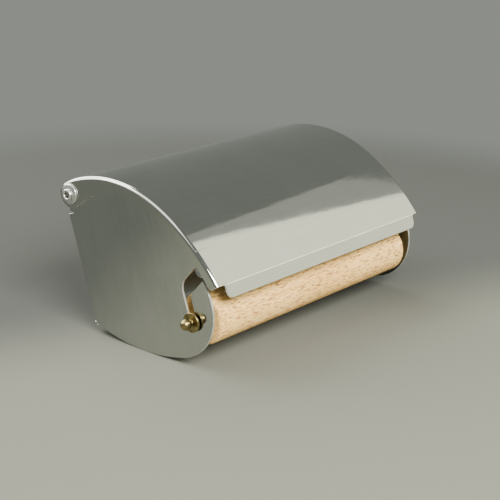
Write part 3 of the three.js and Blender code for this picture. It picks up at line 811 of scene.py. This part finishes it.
def set_pair(piece, half_width, place, finish):
    """Sets a turned piece at both sides, on the axis through place (y, z)."""
    run_geometry(piece, on_both_sides, {
        "Half width": half_width * MM, "Forward": place[0] * MM,
        "Height": (place[1] + DATUM) * MM, "Finish": finish,
    })
    settle(piece)
    smooth(piece, angle=40)


def pressed_steel():
    """Bright pressed steel, a little clouded: lighter and rougher in random patches."""
    made, nodes = material("bare_steel")
    clouds = noise(nodes, 500.0, EVEN, 4.0)
    tone = ramp(nodes, clouds, (0.35, (0.58, 0.58, 0.56)), (0.65, (0.86, 0.86, 0.83)))
    bare_metal(nodes, tone, 0.22 + clouds * 0.2, bump(nodes, 0.3, 0.0001, clouds))
    return made


bare_steel = pressed_steel()
washer_top = WASHER_START + WASHER_SHEET + WASHER_DOME
washer_outline = [(WASHER_START, WASHER_HOLE), (WASHER_START, WASHER_RADIUS - WASHER_EASE)]
washer_outline += [(WASHER_START + WASHER_EASE, WASHER_RADIUS)]
washer_outline += [(WASHER_START + WASHER_RIM, WASHER_RADIUS)]
# Two curves make the dome: its shoulder above the rim, and its flatter top round the hole.
washer_outline += bezier(
    (WASHER_START + 0.45, WASHER_RADIUS), (WASHER_START + 0.75, WASHER_RADIUS - 0.05),
    (WASHER_START + 0.85, WASHER_RADIUS - 0.5), (washer_top - 0.18, WASHER_RADIUS - 1.3), 8)
washer_outline += bezier(
    (washer_top - 0.17, WASHER_RADIUS - 1.35), (washer_top - 0.05, WASHER_RADIUS - 1.9),
    (washer_top, WASHER_HOLE + 0.4), (washer_top - 0.05, WASHER_HOLE), 6)
washer_outline += [(WASHER_START, WASHER_HOLE)]
washers = turned("hinge_washers", washer_outline, steps=72)
set_pair(washers, FRAME_HALF, PIVOT, bare_steel)
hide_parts("hinge_washer_left", "hinge_washer_right")
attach(washers, "frame")

head_top = -FRAME_SHEET - STACK_GAP
head_bottom = head_top - RIVET_HEAD_SHEET
roll = (washer_top + STACK_GAP + RIVET_ROLL, RIVET_BORE + RIVET_ROLL)
rivet_outline = [(head_bottom, RIVET_BORE)]
rivet_outline += rounded((head_bottom, RIVET_BORE), (head_bottom, RIVET_HEAD),
                         (head_top, RIVET_HEAD), RIVET_HEAD_EASE)
rivet_outline += [(head_top, RIVET_HEAD), (head_top, RIVET_RADIUS)]
rivet_outline += [(washer_top - ROLL_START, RIVET_RADIUS)]
rivet_outline += arc(roll, RIVET_ROLL, math.pi, -math.pi / 2, step=0.12)
rivet_outline += [(head_bottom, RIVET_BORE)]
rivets = turned("hinge_rivets", rivet_outline, steps=64)
set_pair(rivets, FRAME_HALF, PIVOT, bare_steel)
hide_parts("hinge_rivet_left", "hinge_rivet_right")
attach(rivets, "frame")


# ---------------------------------------------------------------- roller
# A turned and sanded beech dowel with eased ends, bored at each end for a brass pin. Bare wood,
# with the short dark flecks of beech running along it.

ROLLER_RADIUS = 11.3
ROLLER_HALF = 65.2
ROLLER_EDGE = 1.6
PIN_BORE = 1.93
BORE_DEPTH = 15.0
BORE_EASE = 0.3


def beech_wood():
    """Bare beech: a long grain, leaning a little, with flecks and finer pores along it."""
    made, nodes = material("beech")
    turn = (0.0, 0.10, 0.16)
    grain = noise(nodes, 420.0, (0.04, 1, 1), 5.0, turn)
    broad = noise(nodes, 60.0, (0.25, 1, 1), 2.0, turn)
    fleck = noise(nodes, 2300.0, (0.13, 1, 1), 1.0, turn)
    pores = noise(nodes, 3400.0, (0.12, 1, 1), 1.0, turn)
    flecks = ramp(nodes, fleck, (0.56, 0.0), (0.61, 1.0))
    pore_marks = ramp(nodes, pores, (0.56, 0.0), (0.66, 1.0))
    wood = ramp(nodes, grain * 0.55 + broad * 0.45,
                (0.32, (0.84, 0.49, 0.15)), (0.5, (0.97, 0.62, 0.21)),
                (0.68, (1.0, 0.70, 0.28)))
    marked = nodes.add("ShaderNodeMix", {"data_type": "RGBA"}, {
        "Factor": flecks, "A": wood, "B": (0.36, 0.16, 0.05, 1),
    }, output=2)
    pored = nodes.add("ShaderNodeMix", {"data_type": "RGBA"}, {
        "Factor": pore_marks * 0.45, "A": marked, "B": (0.48, 0.27, 0.12, 1),
    }, output=2)
    relief = bump(nodes, 0.25, 0.0001, grain - flecks * 0.5 - pore_marks * 0.3)
    shader = nodes.add("ShaderNodeBsdfPrincipled", {}, {
        "Base Color": pored, "Roughness": 0.55 + grain * 0.2, "Normal": relief,
        "Specular IOR Level": 0.15,
    })
    nodes.add("ShaderNodeOutputMaterial", {}, {"Surface": shader})
    return made


edge_centre = ROLLER_RADIUS - ROLLER_EDGE
half_outline = [(0.0, ROLLER_RADIUS)]
half_outline += arc((ROLLER_HALF - ROLLER_EDGE, edge_centre), ROLLER_EDGE, math.pi / 2, 0, step=0.3)
half_outline += rounded((ROLLER_HALF, edge_centre), (ROLLER_HALF, PIN_BORE),
                        (ROLLER_HALF - BORE_DEPTH, PIN_BORE), BORE_EASE)
half_outline += [(ROLLER_HALF - BORE_DEPTH, PIN_BORE), (ROLLER_HALF - BORE_DEPTH, 0.0)]
roller_outline = [(-x, r) for x, r in reversed(half_outline[1:])] + half_outline
roller = turned("beech_roller", roller_outline, steps=128)
for vertex in roller.data.vertices:
    vertex.co += Vector((0, SEAT[0], SEAT[1] + DATUM)) * MM
smooth(roller, angle=50)
roller.data.materials.append(beech_wood())
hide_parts("roller")
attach(roller, "roller")


# ---------------------------------------------------------------- roller pins
# Two turned brass pins. Each has a shank in the roller's bore that runs out through the slot, a
# flange that keeps it from sliding in, a short neck and a ball to lift it by.

PIN_STEM = 1.85
PIN_SHANK = 14.0
PIN_END_EASE = 0.35
PIN_FILLET = (0.1, 0.15)
PIN_FLANGE = 4.3
PIN_FLANGE_START = 0.6
PIN_FLANGE_SHEET = 1.1
PIN_FLANGE_EASE = 0.35
PIN_NECK = 1.3
PIN_NECK_LENGTH = 0.7
PIN_NECK_EASE = 0.3
PIN_BALL = 2.4


def turned_brass():
    """Turned brass, unevenly tarnished: dull and dark in some patches, brighter and smoother in
    others.
    """
    made, nodes = material("brass")
    tarnish = noise(nodes, 420.0, EVEN, 5.0)
    rings = noise(nodes, 900.0, (6, 0.3, 0.3), 2.0)
    tone = ramp(nodes, tarnish * 0.8 + rings * 0.2,
                (0.35, (0.12, 0.095, 0.04)), (0.6, (0.34, 0.27, 0.12)))
    bare_metal(nodes, tone, 0.42 - tarnish * 0.25,
               bump(nodes, 0.25, 0.0001, rings + tarnish * 0.5))
    return made


shank_end = ROLLER_HALF - PIN_SHANK - FRAME_HALF
flange_end = PIN_FLANGE_START + PIN_FLANGE_SHEET
neck_angle = math.acos(PIN_NECK / PIN_BALL)
ball_centre = flange_end + PIN_NECK_LENGTH + PIN_BALL * math.sin(neck_angle)
neck_start = math.atan2(PIN_NECK, -PIN_BALL * math.sin(neck_angle))
pin_outline = [(shank_end, 0.0), (shank_end, PIN_STEM - PIN_END_EASE)]
pin_outline += [(shank_end + PIN_END_EASE, PIN_STEM)]
pin_outline += [(PIN_FLANGE_START - PIN_FILLET[0], PIN_STEM)]
pin_outline += [(PIN_FLANGE_START, PIN_STEM + PIN_FILLET[1])]
pin_outline += rounded((PIN_FLANGE_START, PIN_STEM), (PIN_FLANGE_START, PIN_FLANGE),
                       (flange_end, PIN_FLANGE), PIN_FLANGE_EASE, 5)
pin_outline += rounded((PIN_FLANGE_START, PIN_FLANGE), (flange_end, PIN_FLANGE),
                       (flange_end, PIN_NECK), PIN_FLANGE_EASE, 5)
pin_outline += rounded((flange_end, PIN_FLANGE), (flange_end, PIN_NECK),
                       (flange_end + PIN_NECK_LENGTH, PIN_NECK), PIN_NECK_EASE, 4)
pin_outline += arc((ball_centre, 0), PIN_BALL, neck_start, 0.0, step=0.2)
pins = turned("roller_pins", pin_outline, steps=64)
set_pair(pins, FRAME_HALF, SEAT, turned_brass())
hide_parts("roller_pin_left", "roller_pin_right")
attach(pins, "pins")


# ---------------------------------------------------------------- table, light and camera
# The holder lies on a table, resting on the foot of its back plate and the noses of its side
# plates, so it leans back. The table is a plain pale disc with painted shade darkening its far
# part, and it fades at its rim.

LEAN = math.radians(18.28)
level = Matrix.Rotation(LEAN, 3, "X")
up = level @ Vector((0, 0, 1))
table_height = min(up.dot(v.co) for v in frame_sheet.data.vertices)
TABLE_RADIUS = 0.39
TABLE_FADE = 0.27
TABLE_GAP = 0.00005
# Painted shade darkens the table between two distances along this direction, both in metres.
TABLE_PAINTED_SHADE_WAY = (0.48, 0.877, 0)
TABLE_PAINTED_SHADE_START = -0.09
TABLE_PAINTED_SHADE_FULL = 0.0
BACKDROP = (0.272, 0.285, 0.262)


def pale_table():
    """Matt and pale, with painted shade darkening it behind the holder, and clear at the rim."""
    made, nodes = material("pale_table")
    place = nodes.add("ShaderNodeTexCoord", output="Object")
    middle = nodes.add("ShaderNodeVectorMath", {"operation": "LENGTH"}, {0: place}, "Value")
    rim = nodes.add("ShaderNodeMapRange", {"interpolation_type": "SMOOTHSTEP"}, {
        "Value": middle, "From Min": TABLE_FADE, "From Max": TABLE_RADIUS,
    })
    away = nodes.add("ShaderNodeVectorMath", {"operation": "DOT_PRODUCT"},
                     {0: place, 1: TABLE_PAINTED_SHADE_WAY}, "Value")
    shade = nodes.add("ShaderNodeMapRange", {"interpolation_type": "SMOOTHSTEP"}, {
        "Value": away, "From Min": TABLE_PAINTED_SHADE_START, "From Max": TABLE_PAINTED_SHADE_FULL,
    })
    # The ramp runs from the pale lit tone in front to the painted shade behind the holder.
    tone = ramp(nodes, shade, (0.0, (0.150, 0.153, 0.127)), (1.0, (0.074, 0.077, 0.071)))
    shader = nodes.add("ShaderNodeBsdfPrincipled", {}, {
        "Base Color": tone, "Roughness": 0.6, "Specular IOR Level": 0.0,
    })
    clear = nodes.add("ShaderNodeBsdfTransparent")
    mixed = nodes.add("ShaderNodeMixShader", {}, {0: rim, 1: shader, 2: clear})
    nodes.add("ShaderNodeOutputMaterial", {}, {"Surface": mixed})
    return made


disc = bmesh.new()
bmesh.ops.create_circle(disc, cap_ends=True, segments=96, radius=TABLE_RADIUS)
disc_data = bpy.data.meshes.new("table")
disc.to_mesh(disc_data)
disc.free()
table = bpy.data.objects.new("table", disc_data)
table.matrix_world = Matrix.Translation(up * (table_height - TABLE_GAP)) @ level.to_4x4()
bpy.context.scene.collection.objects.link(table)
table.data.materials.append(pale_table())

world = bpy.data.worlds.new("room")
bpy.context.scene.world = world
world.use_nodes = True
room = Builder(world.node_tree)
surround = room.add("ShaderNodeBackground", {}, {"Color": (*BACKDROP, 1), "Strength": 1.0})
room.add("ShaderNodeOutputWorld", {}, {"Surface": surround})


def soft_light(name, bearing, height, distance, shift, size, roll, power, colour):
    """A rectangular soft light. Its plane faces the holder from a bearing, counted from +X
    towards +Y, and a height above the level, both in degrees. It is shifted within that plane,
    to the right and up, and rolled about its own middle."""
    data = bpy.data.lights.new(name, "AREA")
    data.shape = "RECTANGLE"
    data.size, data.size_y = size
    data.energy = power
    data.color = colour
    a, e = math.radians(bearing), math.radians(height)
    out = Vector((math.cos(a) * math.cos(e), math.sin(a) * math.cos(e), math.sin(e)))
    across = Vector((-math.sin(a), math.cos(a), 0))
    upward = out.cross(across)
    facing = Matrix((across, upward, out)).transposed().to_4x4()
    lamp = bpy.data.objects.new(name, data)
    centre = out * distance + across * shift[0] + upward * shift[1]
    rolled = Matrix.Rotation(math.radians(roll), 4, "Z")
    lamp.matrix_world = Matrix.Translation(centre) @ facing @ rolled
    bpy.context.scene.collection.objects.link(lamp)


# Two panels stand where the crown's front mirrors them, one behind the other, and give it its
# pale zone and the paler step within it. A narrow strip draws the line along the lip's bend.
# The back light is for the fold, the left one for the fold and the washer, and the front one
# for the wood.
soft_light("window", -45, 25, 1.3, (-0.007, -0.395), (0.9, 1.2), 20.5, 5.0, (1.0, 1.0, 0.78))
soft_light("window_side", -45, 25, 1.31, (-0.114, 0.027), (0.9, 1.0), -25, 0.85, (1.0, 1.0, 0.92))
soft_light("lip_strip", -43, 11.5, 1.2, (0, 0), (0.7, 0.05), 0, 1.3, (1.0, 1.0, 0.9))
soft_light("back", 95, 55, 1.1, (0, 0), (1.5, 1.1), 0, 30.0, (1.0, 1.0, 0.95))
soft_light("left", 178, 59, 1.1, (0, 0), (1.3, 0.9), 0, 9.0, (1.0, 1.0, 0.93))
soft_light("front", -112, 18, 1.0, (0, 0), (0.5, 0.4), 0, 27.0, (1.0, 0.985, 0.93))

# The camera looks down on the left end from in front.
EYE = Vector((-0.42196, -0.43866, 0.07222 + DATUM * MM))
AHEAD = Vector((0.71760, 0.68890, -0.10226))
EYE_UP = Vector((0.23084, -0.09675, 0.96817))
camera_data = bpy.data.cameras.new("camera")
camera_data.lens = 91.62
camera_data.shift_x = 0.0075
camera_data.shift_y = -0.0013
camera = bpy.data.objects.new("camera", camera_data)
right = AHEAD.cross(EYE_UP).normalized()
turned_to = Matrix((right, right.cross(AHEAD), -AHEAD)).transposed()
camera.matrix_world = Matrix.Translation(EYE) @ turned_to.to_4x4()
bpy.context.scene.collection.objects.link(camera)
bpy.context.scene.camera = camera
